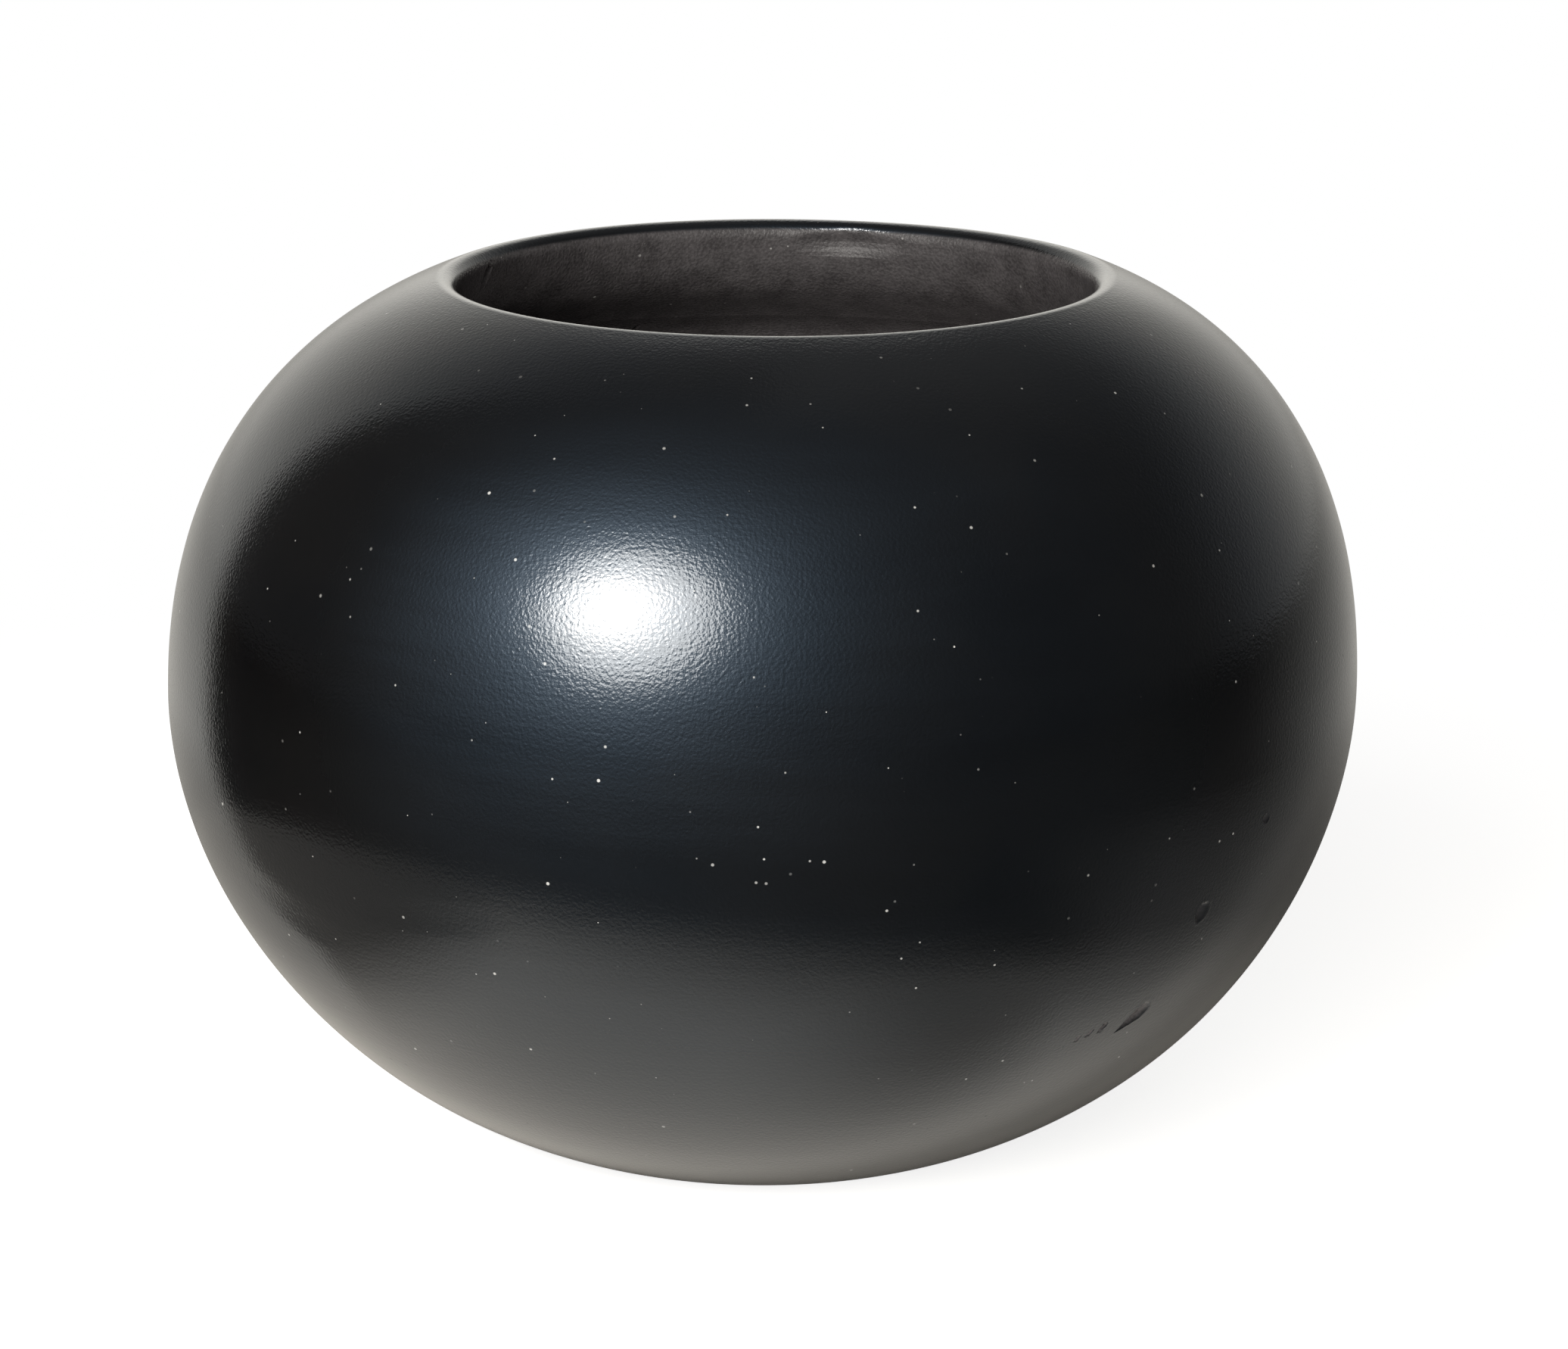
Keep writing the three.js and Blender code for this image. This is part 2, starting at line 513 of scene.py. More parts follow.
class TurnedClay:
    """The Geometry Nodes tree that turns a section into a piece of the jar.

    The section's points are laid round the axis, drift sideways with height as the hand-built
    wall does, and waver a little, as a wall that was shaped and stone-polished by hand.
    """

    NAME = "turned clay"
    MERGE_DISTANCE = 0.002 * MM

    def __init__(self, form: JarForm) -> None:
        """Builds the tree.

        Args:
            form: the jar's sizes, for the drift.
        """
        self.tree = bpy.data.node_groups.new(self.NAME, "GeometryNodeTree")
        self.identifiers: dict[str, str] = {}
        self._socket("Section", "Geometry")
        self._socket("Turns", "Int", 720)
        for name, value in (
            ("Belly Height", form.belly_height),
            ("Jar Height", form.height),
            ("Belly Drift", form.belly_drift),
            ("Mouth Drift", form.mouth_drift),
            ("Waver", 0.35 * MM),
            ("Waver Length", 38 * MM),
            ("Stroke", 0.035 * MM),
            ("Stroke Length", 34 * MM),
            ("Stroke Height", 5 * MM),
            ("Steady Height", 16 * MM),
            ("Crease", 35 * DEGREE),
        ):
            self._socket(name, "Float", value)
        for name in ("Clay", "Joint"):
            self._socket(name, "Material")
        sockets = self.tree.interface
        sockets.new_socket("Piece", in_out="OUTPUT", socket_type="NodeSocketGeometry")
        self._build()

    def _socket(self, name: str, kind: str, value: float | None = None) -> None:
        """Adds a named input and keeps its identifier.

        Args:
            name: its name.
            kind: what it holds.
            value: its own value, for a number.
        """
        sockets = self.tree.interface
        socket = sockets.new_socket(name, in_out="INPUT", socket_type="NodeSocket" + kind)
        if value is not None:
            socket.default_value = value
        self.identifiers[name] = socket.identifier

    @staticmethod
    def _waver(bench: NodeBench, place: Wire, given: dict[str, Wire]) -> Wire:
        """How far a point moves away from the belly's middle.

        Args:
            bench: what adds the nodes.
            place: the point.
            given: the tree's inputs.

        Returns:
            The point's offset.
        """
        x, y, z = bench.split(place)
        level = bench.vector(x, y, z * (given["Stroke Length"] / given["Stroke Height"]))
        slow = bench.noise(place, 1.0 / given["Waver Length"], 0.0)
        quick = bench.noise(level, 1.0 / given["Stroke Length"], 0.0)
        move = (slow - 0.5) * given["Waver"] + (quick - 0.5) * given["Stroke"]
        centre = bench.vector(0.0, 0.0, given["Belly Height"])
        outward = bench.vector_maths("NORMALIZE", bench.vector_maths("SUBTRACT", place, centre))
        return bench.scaled(outward, move * bench.ramp(z, 0.0, given["Steady Height"]))

    def _build(self) -> None:
        """Lays out the nodes: a grid of points, each set in its place, then closed and dressed."""
        bench = NodeBench(self.tree)
        given = bench.wires("NodeGroupInput")
        section, turns = given["Section"], given["Turns"]
        rows = bench.add("GeometryNodeAttributeDomainSize", {0: section}, "Point Count", component="MESH")
        index = bench.add("GeometryNodeInputIndex")
        column = bench.maths("FLOOR", (index + 0.5) / rows)
        row = index - column * rows

        def sampled(value: Wire, kind: str) -> Wire:
            """A value of the section's point that a point of the grid stands for."""
            inputs = {"Geometry": section, "Value": value, "Index": row}
            return bench.add("GeometryNodeSampleIndex", inputs, data_type=kind)

        def named(trait: Trait) -> Wire:
            """A trait of the points, by its name."""
            return bench.add("GeometryNodeInputNamedAttribute", {"Name": trait.value}, data_type="FLOAT")

        source = bench.add("GeometryNodeInputPosition")
        radius, _, height = bench.split(sampled(source, "FLOAT_VECTOR"))
        sizes = (given[name] for name in ("Jar Height", "Belly Height", "Mouth Drift", "Belly Drift"))
        angle = column * (math.tau / turns)
        across = radius * bench.maths("COSINE", angle) + drifted(height, *sizes)
        place = bench.vector(across, radius * bench.maths("SINE", angle), height)
        piece = bench.add("GeometryNodeMeshGrid", {"Vertices X": turns + 1, "Vertices Y": rows}, "Mesh")
        piece = bench.add("GeometryNodeSetPosition", {"Geometry": piece, "Position": place})
        waver = self._waver(bench, bench.add("GeometryNodeInputPosition"), given)
        piece = bench.add("GeometryNodeSetPosition", {"Geometry": piece, "Offset": waver})
        for trait in Trait:
            share = sampled(named(trait), "FLOAT")
            stored = {"Geometry": piece, "Name": trait.value, "Value": share}
            piece = bench.add(
                "GeometryNodeStoreNamedAttribute", stored, data_type="FLOAT", domain="POINT"
            )
        merged = {"Geometry": piece, "Distance": self.MERGE_DISTANCE}
        piece = bench.add("GeometryNodeMergeByDistance", merged)
        turn = bench.add("GeometryNodeInputMeshEdgeAngle", output="Unsigned Angle")
        sharp = bench.maths("GREATER_THAN", turn, given["Crease"])
        creased = {"Geometry": piece, "Selection": sharp, "Shade Smooth": False}
        piece = bench.add("GeometryNodeSetShadeSmooth", creased, domain="EDGE")
        piece = bench.add("GeometryNodeSetMaterial", {"Geometry": piece, "Material": given["Clay"]})
        luted = bench.maths("GREATER_THAN", named(Trait.JOINT), 0.5)
        dressed = {"Geometry": piece, "Selection": luted, "Material": given["Joint"]}
        piece = bench.add("GeometryNodeSetMaterial", dressed)
        piece = bench.add("GeometryNodeRealizeInstances", {0: piece})
        bench.node("NodeGroupOutput", {0: piece})

    def turn(self, name: str, section: Sequence[SectionPoint], finishes: Finishes) -> Object:
        """Turns one section into a plain mesh.

        Args:
            name: the piece's name.
            section: its points, up the outside and down the inside.
            finishes: the materials of its faces.

        Returns:
            The piece, at the origin, with its place in its mesh.
        """
        outline = bpy.data.meshes.new(name + "_section")
        places = [(point.radius, 0.0, point.height) for point in section]
        outline.from_pydata(places, [(i, i + 1) for i in range(len(places) - 1)], [])
        for trait in Trait:
            attribute = outline.attributes.new(trait.value, "FLOAT", "POINT")
            attribute.data.foreach_set("value", [getattr(point, trait.value) for point in section])
        made = bpy.data.objects.new(name + "_section", outline)
        bpy.context.scene.collection.objects.link(made)
        modifier = made.modifiers.new(self.NAME, "NODES")
        modifier.node_group = self.tree
        modifier[self.identifiers["Clay"]] = finishes.clay
        modifier[self.identifiers["Joint"]] = finishes.joint
        evaluated = made.evaluated_get(bpy.context.evaluated_depsgraph_get())
        mesh = bpy.data.meshes.new_from_object(evaluated)
        made.modifiers.remove(modifier)
        bpy.data.objects.remove(made)
        piece = bpy.data.objects.new(name, mesh)
        bpy.context.scene.collection.objects.link(piece)
        return piece


@dataclass(frozen=True)
class Mark:
    """A small mark in the clay, such as a pit, a scrape or a crack.

    Attributes:
        azimuth: how far round to the right of the viewer, in degrees.
        height: its middle's height.
        length: its half length.
        width: its half width.
        turn: how far its length leans from level, rising to the right, in degrees.
        depth: how deep it goes.
        lean: how far its floor rises towards its far end, from 0 to 1.
        spread: how much wider its far end is than its near end, from 0 to 1.
        ragged: how uneven its outline is, from 0 to 1.
        bared: how much of the burnish is lost inside it, from 0 to 1.
        inside: whether it lies on the inside of the wall.
    """

    # It changes the clay a little beyond its outline, which is uneven in lumps
    SURROUND, MARGIN = 1.6, 0.4 * MM
    LUMP_SHARE, LUMP_MARGIN = 0.5, 0.1 * MM
    # Its bowl falls off by two powers, inside a low raised brim
    FLATNESS, STEEPNESS = 3, 1.2
    BRIM_RISE, BRIM_REACH, BRIM_WIDTH = 0.02, 1.12, 0.16

    azimuth: float
    height: float
    length: float
    width: float
    turn: float
    depth: float
    lean: float = 0.0
    spread: float = 0.0
    ragged: float = 0.12
    bared: float = 1.0
    inside: bool = False

    @classmethod
    def of(
        cls, azimuth: float, height: float, length: float, width: float, turn: float, depth: float,
        **more: float,
    ) -> Mark:
        """A mark whose height, length, width and depth are given in millimetres."""
        return cls(azimuth, height * MM, length * MM, width * MM, turn, depth * MM, **more)

    @property
    def reach(self) -> float:
        """How far from its middle it can change the clay."""
        return max(self.length, self.width * (1 + self.spread)) * self.SURROUND + self.MARGIN

    def frame(self, rule: WallRule) -> Matrix:
        """The mark's own axes at its middle: along it, across it, and out of the clay.

        Args:
            rule: the wall that it lies on.

        Returns:
            The axes and the middle as one matrix.
        """
        around, lean = self.azimuth * DEGREE, self.turn * DEGREE
        distance, near = rule.distance_at(self.height), 0.1 * MM
        follow = rule.inner if self.inside else rule.outer
        radius, height = follow(distance)
        rise = (follow(distance + near) - follow(distance - near)) * (1 if self.inside else -1)
        side = Vector((math.sin(around), -math.cos(around), 0.0))
        level = Vector((math.cos(around), math.sin(around), 0.0))
        out = (side * -rise[1] + Vector((0.0, 0.0, rise[0]))).normalized()
        along = level * math.cos(lean) + out.cross(level) * math.sin(lean)
        middle = side * radius + Vector((rule.form.drift(height), 0.0, height))
        turned = Matrix((along, out.cross(along), out)).transposed().to_4x4()
        return Matrix.Translation(middle) @ turned

    def spans(self, place: Vector) -> tuple[float, float]:
        """Measures where in the mark a point is.

        Args:
            place: the point, in the mark's own axes.

        Returns:
            How far it is towards the far end, from -1 to 1, and from the middle to the brim.
        """
        end = max(-1.0, min(1.0, place.x / self.length))
        width = self.width * (1 + self.spread * end)
        return end, math.hypot(place.x / self.length, place.y / width)

    def share_at(self, place: Vector) -> float:
        """How much of the mark a point has.

        Args:
            place: the point, in the mark's own axes.

        Returns:
            1 in the middle and 0 outside, a little below 0 on the brim, where the clay is raised.
        """
        end, reach = self.spans(place)
        lump = self.LUMP_SHARE * self.width + self.LUMP_MARGIN
        reach /= 1 + self.ragged * noise.noise(Vector((place.x, place.y, self.azimuth * MM)) / lump)
        bowl = max(0.0, 1 - reach**self.FLATNESS) ** self.STEEPNESS
        brim = math.exp(-(((reach - self.BRIM_REACH) / self.BRIM_WIDTH) ** 2))
        return bowl * (1 - self.lean * (1 + end) / 2) - self.BRIM_RISE * brim


@dataclass(frozen=True)
class Dent(Mark):
    """A wide, soft dent under the burnish, such as a finger or a stone leaves in damp clay."""

    bared: float = 0.0

    def share_at(self, place: Vector) -> float:
        """How much of the dent a point has: 1 in the middle, falling smoothly to 0 outside."""
        return max(0.0, 1 - self.spans(place)[1] ** 2) ** 2


@dataclass(frozen=True)
class MarkCutter:
    """Cuts marks into a piece, after dividing its faces there.

    The edges near a mark are cut a few times first, if the mark is fine, which is by its half
    length. A mark reaches one layer above and below the surface, and bares the clay a little
    faster than it deepens.
    """

    rule: WallRule
    marks: Iterable[Mark]
    cuts: int = 3
    fine: float = 4 * MM
    layer: float = 1.6 * MM
    baring: float = 1.5

    def near(self, mark: Mark, axes: Matrix, places: np.ndarray) -> np.ndarray:
        """Which points lie within a mark's reach, on the same side of the wall.

        Args:
            mark: the mark.
            axes: its own axes.
            places: the points, one in each row.

        Returns:
            The rows of the points that do.
        """
        away = places - np.array(axes.translation)
        beside = np.abs(away @ np.array(axes.col[2].xyz)) < self.layer
        return np.flatnonzero((np.linalg.norm(away, axis=1) < mark.reach) & beside)

    def vertices(self, work: bmesh.types.BMesh, mark: Mark, axes: Matrix) -> list[bmesh.types.BMVert]:
        """Finds the vertices of a mesh that a mark can move.

        Args:
            work: the mesh.
            mark: the mark.
            axes: its own axes.

        Returns:
            The vertices.
        """
        work.verts.ensure_lookup_table()
        places = np.array([vertex.co for vertex in work.verts])
        return [work.verts[row] for row in self.near(mark, axes, places)]

    def cut(self, piece: Object) -> None:
        """Cuts every mark that lies on a piece.

        Args:
            piece: the piece, with its place in its mesh.
        """
        places = places_of(piece)
        framed = [(mark, mark.frame(self.rule)) for mark in self.marks]
        touching = [pair for pair in framed if len(self.near(*pair, places))]
        if not touching:
            return
        work = bmesh.new()
        work.from_mesh(piece.data)
        polish = work.verts.layers.float[Trait.POLISH.value]
        for mark, axes in touching:
            if mark.length < self.fine:
                near = set(self.vertices(work, mark, axes))
                edges = {edge for vertex in near for edge in vertex.link_edges}
                edges = [edge for edge in edges if near.issuperset(edge.verts)]
                edges.sort(key=lambda edge: edge.index)
                bmesh.ops.subdivide_edges(work, edges=edges, cuts=self.cuts, use_grid_fill=True)
            inverse, out = axes.inverted(), axes.col[2].xyz
            for vertex in self.vertices(work, mark, axes):
                share = mark.share_at(inverse @ vertex.co)
                vertex.co -= out * mark.depth * share
                vertex[polish] *= 1 - mark.bared * min(max(self.baring * share, 0.0), 1.0)
        bmesh.ops.triangulate(work, faces=[face for face in work.faces if len(face.verts) > 4])
        work.to_mesh(piece.data)
        work.free()


class ShaderGroup:
    """A shader node group with a place, named sizes and named outputs, built once."""

    name = ""
    sizes: dict[str, float] = {}
    outputs: tuple[str, ...] = ()

    def __init__(self) -> None:
        """Makes the group's sockets and fills it."""
        self.tree = bpy.data.node_groups.new(self.name, "ShaderNodeTree")
        sockets = self.tree.interface
        sockets.new_socket("Place", in_out="INPUT", socket_type="NodeSocketVector")
        for name, value in self.sizes.items():
            socket = sockets.new_socket(name, in_out="INPUT", socket_type="NodeSocketFloat")
            socket.default_value = value
        for name in self.outputs:
            sockets.new_socket(name, in_out="OUTPUT", socket_type="NodeSocketFloat")
        bench = NodeBench(self.tree)
        bench.node("NodeGroupOutput", self.fill(bench, bench.wires("NodeGroupInput")))

    def fill(self, bench: NodeBench, given: dict[str, Wire]) -> dict[str, Wire]:
        """Adds the group's nodes.

        Args:
            bench: what adds them.
            given: the group's inputs.

        Returns:
            A wire for each of its outputs.
        """
        raise NotImplementedError

    def place(self, bench: NodeBench, place: Wire, **sizes: Wire) -> dict[str, Wire]:
        """Puts the group into a material.

        Args:
            bench: the material's bench.
            place: where the surface is.
            sizes: its other inputs, with spaces in their names written as underscores.

        Returns:
            The group's outputs.
        """
        inputs = {"Place": place} | {name.replace("_", " "): size for name, size in sizes.items()}
        return bench.wires("ShaderNodeGroup", inputs, node_tree=self.tree)


class StrokeGroup(ShaderGroup):
    """Grain, and the level strokes of a polishing stone, as a height in metres."""

    name = "grain and strokes"
    sizes = {
        "Grain Size": 0.33 * MM,
        "Grain Height": 0.03 * MM,
        "Stroke Size": 2.2 * MM,
        "Stroke Height": 0.02 * MM,
    }
    outputs = ("Height", "Streak", "Grain")
    stretch = 9.0
    contrast = Step(0.3, 0.7)

    def fill(self, bench: NodeBench, given: dict[str, Wire]) -> dict[str, Wire]:
        """Round grain, and noise drawn out level to about ten times its height.

        Args:
            bench: what adds the nodes.
            given: the group's inputs.

        Returns:
            The height, the streaks and the grain.
        """
        x, y, z = bench.split(given["Place"])
        level = bench.vector(x, y, z * self.stretch)
        grain = bench.noise(given["Place"], 1.0 / given["Grain Size"], 1.0)
        stroke = bench.noise(level, 1.0 / (given["Stroke Size"] * self.stretch), 2.0)
        height = (grain - 0.5) * given["Grain Height"] + (stroke - 0.5) * given["Stroke Height"]
        streak, speckle = (bench.ramp(value, *self.contrast) for value in (stroke, grain))
        return {"Height": height, "Streak": streak, "Grain": speckle}


class DustGroup(ShaderGroup):
    """Pale specks of dust, scattered by chance over a surface."""

    name = "dust specks"
    sizes = {"Spacing": 1.8 * MM, "Speck Radius": 0.16 * MM, "Share": 0.7}
    outputs = ("Mask", "Paleness")
    smallest, spread, core = 0.3, 1.2, 0.5
    paleness = Step(0.2, 1.0, 0.15, 1.0)

    def fill(self, bench: NodeBench, given: dict[str, Wire]) -> dict[str, Wire]:
        """A round speck in a share of the cells of a loose grid, each of its own size.

        Args:
            bench: what adds the nodes.
            given: the group's inputs.

        Returns:
            Where dust lies, and how pale it is.
        """
        grid = {"Vector": given["Place"], "Scale": 1.0 / given["Spacing"]}
        cells = bench.wires("ShaderNodeTexVoronoi", grid, feature="F1")
        chance, size, pale = bench.wires("ShaderNodeSeparateColor", {0: cells["Color"]}).values()
        radius = given["Speck Radius"] * (size**2.0 * self.spread + self.smallest)
        edge = bench.ramp(cells["Distance"] * given["Spacing"], radius * self.core, radius, 1.0, 0.0)
        there = bench.maths("LESS_THAN", chance, given["Share"])
        return {"Mask": edge * there, "Paleness": bench.ramp(pale, *self.paleness)}


class CloudGroup(ShaderGroup):
    """Slow changes of tone, as smoke leaves in clay."""

    name = "smoke clouds"
    sizes = {"Cloud Size": 30 * MM}
    outputs = ("Cloud", "Mottle")
    mottles_in_cloud = 9.0
    cloud, mottle = Step(0.35, 0.65), Step(0.3, 0.7)

    def fill(self, bench: NodeBench, given: dict[str, Wire]) -> dict[str, Wire]:
        """Two scales of soft noise, both from 0 to 1.

        Args:
            bench: what adds the nodes.
            given: the group's inputs.

        Returns:
            The slow noise and the quick one.
        """
        slow = bench.noise(given["Place"], 1.0 / given["Cloud Size"], 3.0)
        quick = bench.noise(given["Place"], self.mottles_in_cloud / given["Cloud Size"], 3.0)
        return {"Cloud": bench.ramp(slow, *self.cloud), "Mottle": bench.ramp(quick, *self.mottle)}


@dataclass(frozen=True)
class ShaderKit:
    """The shader groups that the finishes share."""

    strokes: StrokeGroup = field(default_factory=StrokeGroup)
    dust: DustGroup = field(default_factory=DustGroup)
    clouds: CloudGroup = field(default_factory=CloudGroup)


def opened(name: str) -> tuple[Material, NodeBench, Wire, Node]:
    """Makes a material with one Principled BSDF.

    Args:
        name: the material's name.

    Returns:
        The material, a bench on its nodes, the place on the object, and the Principled BSDF.
    """
    material = bpy.data.materials.new(name)
    material.use_nodes = True
    bench = NodeBench(material.node_tree)
    place = bench.add("ShaderNodeTexCoord", output="Object")
    return material, bench, place, material.node_tree.nodes["Principled BSDF"]


@dataclass(frozen=True)
class SmokedClay:
    """Smoke-blackened clay: burnished slip where its polish is 1, bare and dull where it is 0.

    A wide, bluish shine lies under a sharp, neutral gloss. The shine sharpens towards the outline.
    """

    kit: ShaderKit
    black: Colour = (0.0022, 0.0022, 0.0025)
    brown: Colour = (0.004, 0.0036, 0.0034)
    bare_dark: Colour = (0.034, 0.031, 0.032)
    bare_light: Colour = (0.08, 0.074, 0.076)
    # Painted light deep inside: how much paler the bare clay is painted below the rim
    painted_light_deep_inside: Step = Step(75 * MM, 88 * MM, 2.2, 1.0)
    dust_colour: Colour = (0.47, 0.465, 0.45)
    shine_tint: Colour = (0.5, 0.72, 1.0)
    shine_index: float = 1.62
    roughness: float = 0.42
    streaking: float = 0.03
    bare_roughness: float = 0.54
    grain_heights: tuple[float, float] = (0.024 * MM, 0.07 * MM)
    stroke_heights: tuple[float, float] = (0.018 * MM, 0.1 * MM)
    gloss: float = 0.85
    gloss_index: float = 1.8
    gloss_roughness: float = 0.15
    grazing: Step = Step(0.18, 0.5, 1.0, 0.3)

    def make(self) -> Material:
        """Builds the material.

        Returns:
            The material.
        """
        material, bench, place, shader = opened("smoked_clay")
        polish = bench.add("ShaderNodeAttribute", output="Fac", attribute_name=Trait.POLISH.value)
        bare = bench.maths("SUBTRACT", 1.0, polish, clamp=True)
        grain, stroke = (low + bare * more for low, more in (self.grain_heights, self.stroke_heights))
        strokes = self.kit.strokes.place(bench, place, Grain_Height=grain, Stroke_Height=stroke)
        clouds = self.kit.clouds.place(bench, place)
        dust = self.kit.dust.place(bench, place)

        slip = bench.mix(clouds["Cloud"], self.black, self.brown)
        speckle = (clouds["Mottle"] + strokes["Grain"]) * 0.5
        body = bench.mix(speckle, self.bare_dark, self.bare_light)
        # Painted light: the bare clay is painted up to 2.2 times paler deeper inside, below 75 mm, where
        # the lamps reach it little.
        body = bench.scaled(body, bench.ramp(bench.split(place)[2], *self.painted_light_deep_inside))
        clay = bench.mix(bare, slip, body)
        colour = bench.mix(dust["Mask"] * dust["Paleness"], clay, self.dust_colour)

        facing = bench.add("ShaderNodeLayerWeight", {"Blend": 0.5}, "Facing")
        streaked = strokes["Streak"] * self.streaking + self.roughness
        dulled = bare * (self.bare_roughness - self.roughness)
        clean = bench.maths("SUBTRACT", 1.0, dust["Mask"], clamp=True)
        bumps = {"Height": strokes["Height"], "Distance": 1.0, "Strength": 1.0}
        relief = bench.add("ShaderNodeBump", bumps)
        # The plain tint stays in its socket, for an export that drops the link.
        for name, value in (
            ("Base Color", colour),
            ("Roughness", streaked * bench.ramp(facing, *self.grazing) + dulled),
            ("Coat Weight", polish * clean * self.gloss),
            ("Coat Roughness", self.gloss_roughness),
            ("Coat IOR", self.gloss_index),
            ("IOR", self.shine_index),
            ("Specular Tint", self.shine_tint),
            ("Specular Tint", bench.mix(bare, self.shine_tint, WHITE)),
            ("Normal", relief),
            ("Coat Normal", relief),
        ):
            bench.feed(shader.inputs[name], value)
        return material


@dataclass(frozen=True)
class JointClay:
    """The scored, luted faces between two pieces, which no one sees."""

    kit: ShaderKit
    dark: Colour = (0.027, 0.024, 0.0216)
    light: Colour = (0.045, 0.04, 0.036)
    roughness: float = 0.85

    def make(self) -> Material:
        """Builds the material.

        Returns:
            The material.
        """
        material, bench, place, shader = opened("joint_clay")
        mottle = self.kit.clouds.place(bench, place)["Mottle"]
        bench.feed(shader.inputs["Base Color"], bench.mix(mottle, self.dark, self.light))
        bench.feed(shader.inputs["Roughness"], self.roughness)
        return material


@dataclass
class ClayPiece:
    """One piece of clay of the jar, which stands for the solid of the same name."""

    node: str
    rule: WallRule
    grading: Grading = field(default_factory=Grading)

    def section(self) -> list[SectionPoint]:
        """The piece's section, up the outside and back down the inside."""
        raise NotImplementedError

    def outside(self, start: float, end: float) -> list[SectionPoint]:
        """Points of the outside between two distances."""
        places = self.grading.stretch(start, end, self.grading.step)
        return [SectionPoint(*self.rule.outer(place)) for place in places]

    def joint(self, outer: float) -> list[SectionPoint]:
        """Lists the points across a joint's bevel.

        Args:
            outer: the distance of its outer edge.

        Returns:
            The points from its outer to its inner edge, ends left out.
        """
        first, last = self.rule.outer(outer), self.rule.inner(outer - self.rule.form.joint_lap)
        places = (first + (last - first) * share for share in self.grading.joint_shares)
        return [SectionPoint(*place, polish=0.0, joint=1.0) for place in places]

    def build(self, turner: TurnedClay, cutter: MarkCutter, finishes: Finishes) -> Object:
        """Makes the piece, puts it on its body and sets it in its solid's place.

        Args:
            turner: what turns the section.
            cutter: what cuts the marks.
            finishes: the materials of its faces.

        Returns:
            The finished piece.
        """
        piece = turner.turn(self.node + "_clay", self.section(), finishes)
        cutter.cut(piece)
        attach(piece, "root")
        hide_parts(self.node)
        return piece

    def report(self, piece: Object) -> None:
        """Logs how many faces the piece has, and how far its box is from its solid's.

        Args:
            piece: the finished piece.
        """
        places = places_of(piece)
        gaps = np.array([places.min(axis=0), places.max(axis=0)]) - np.array(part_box(self.node))
        gap = np.linalg.norm(gaps, axis=1).max() / MM
        LOG.info("%s: %d faces, %.2f mm from its solid's box", piece.name, len(piece.data.polygons), gap)


@dataclass
class BasePat(ClayPiece):
    """The pat of clay that makes the foot, the heel and the bowl inside."""

    edge: float = 0.0
    bowl_flatness: float = 0.62
    bowl_side: float = 0.45
    foot_steps: int = 12
    bowl_steps: int = 48

    def bowl(self) -> list[SectionPoint]:
        """Lists the points of the bowl.

        Returns:
            The points, from the joint down to the middle of the floor.
        """
        form, distance = self.rule.form, self.edge - self.rule.form.joint_lap
        top, inward, floor = self.rule.inner(distance), self.rule.inward(distance), form.floor_thickness
        steep = top - np.array([inward[1], -inward[0]]) * (top[1] - floor) * self.bowl_side
        level, middle = np.array([top[0] * self.bowl_flatness, floor]), np.array([0.0, floor])
        points = []
        for t in np.linspace(0.0, 1.0, self.bowl_steps + 1):
            s = 1 - t
            place = s**3 * top + 3 * s**2 * t * steep + 3 * s * t * t * level + t**3 * middle
            points.append(SectionPoint(*place, polish=0.0))
        return points

    def section(self) -> list[SectionPoint]:
        """Lists the points of the section.

        Returns:
            The points from the middle of the foot, round the heel, up the outside and down the bowl.
        """
        form, rule = self.rule.form, self.rule
        radii = np.linspace(0.0, form.foot_radius, self.foot_steps + 1)
        foot = [SectionPoint(float(radius), 0.0) for radius in radii]
        turns = np.linspace(-math.pi / 2, -rule.heel.angle, self.grading.heel_steps + 1)[1:-1]
        centre = np.array([form.foot_radius, form.heel_radius])
        rounds = np.array([np.cos(turns), np.sin(turns)]).T * form.heel_radius + centre
        heel = [SectionPoint(*place) for place in rounds]
        return [*foot, *heel, *self.outside(0.0, self.edge), *self.joint(self.edge), *self.bowl()]


@dataclass
class WallCoil(ClayPiece):
    """One coil of the wall, bevelled above and below."""

    lower: float = 0.0
    upper: float = 0.0

    def inside(self) -> list[SectionPoint]:
        """Lists the points of the finger-hollowed inside.

        Returns:
            The points, from the upper joint to the lower.
        """
        form = self.rule.form
        start, end = self.lower - form.joint_lap, self.upper - form.joint_lap
        points = []
        for place in reversed(self.grading.stretch(start, end, self.grading.inner_step)):
            pressed = form.finger_hollow * math.sin(math.pi * (place - start) / (end - start))
            points.append(SectionPoint(*self.rule.inner(place, pressed), polish=0.0))
        return points

    def section(self) -> list[SectionPoint]:
        """Round the coil and back to where it began."""
        outside, below = self.outside(self.lower, self.upper), reversed(self.joint(self.lower))
        return [*outside, *self.joint(self.upper), *self.inside(), *below, outside[0]]


